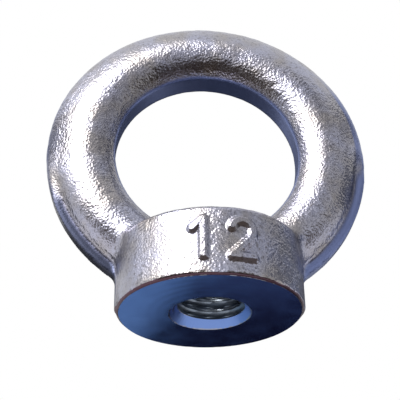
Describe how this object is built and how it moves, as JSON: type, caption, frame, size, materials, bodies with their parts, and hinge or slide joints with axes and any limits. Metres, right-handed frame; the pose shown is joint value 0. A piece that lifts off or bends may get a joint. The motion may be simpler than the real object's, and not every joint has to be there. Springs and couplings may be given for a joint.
{
  "type": "lifting eye nut",
  "caption": "Forged lifting eye nut: a round eye ring standing on a short round boss tapped from its flat bearing face.",
  "frame": {"origin": "centre of the flat bearing face at the foot of the boss", "axes": "+Z along the thread axis from the bearing face towards the ring; the ring stands in the XZ plane and is thin along Y"},
  "size_m": [0.0542, 0.03, 0.0555],
  "materials": {
    "zinc_plated_steel": "zinc-plated forged steel with a fine rough skin; bearing face and thread machined"
  },
  "bodies": {
    "root": {"eye_nut": "zinc_plated_steel"}
  },
  "joints": []
}
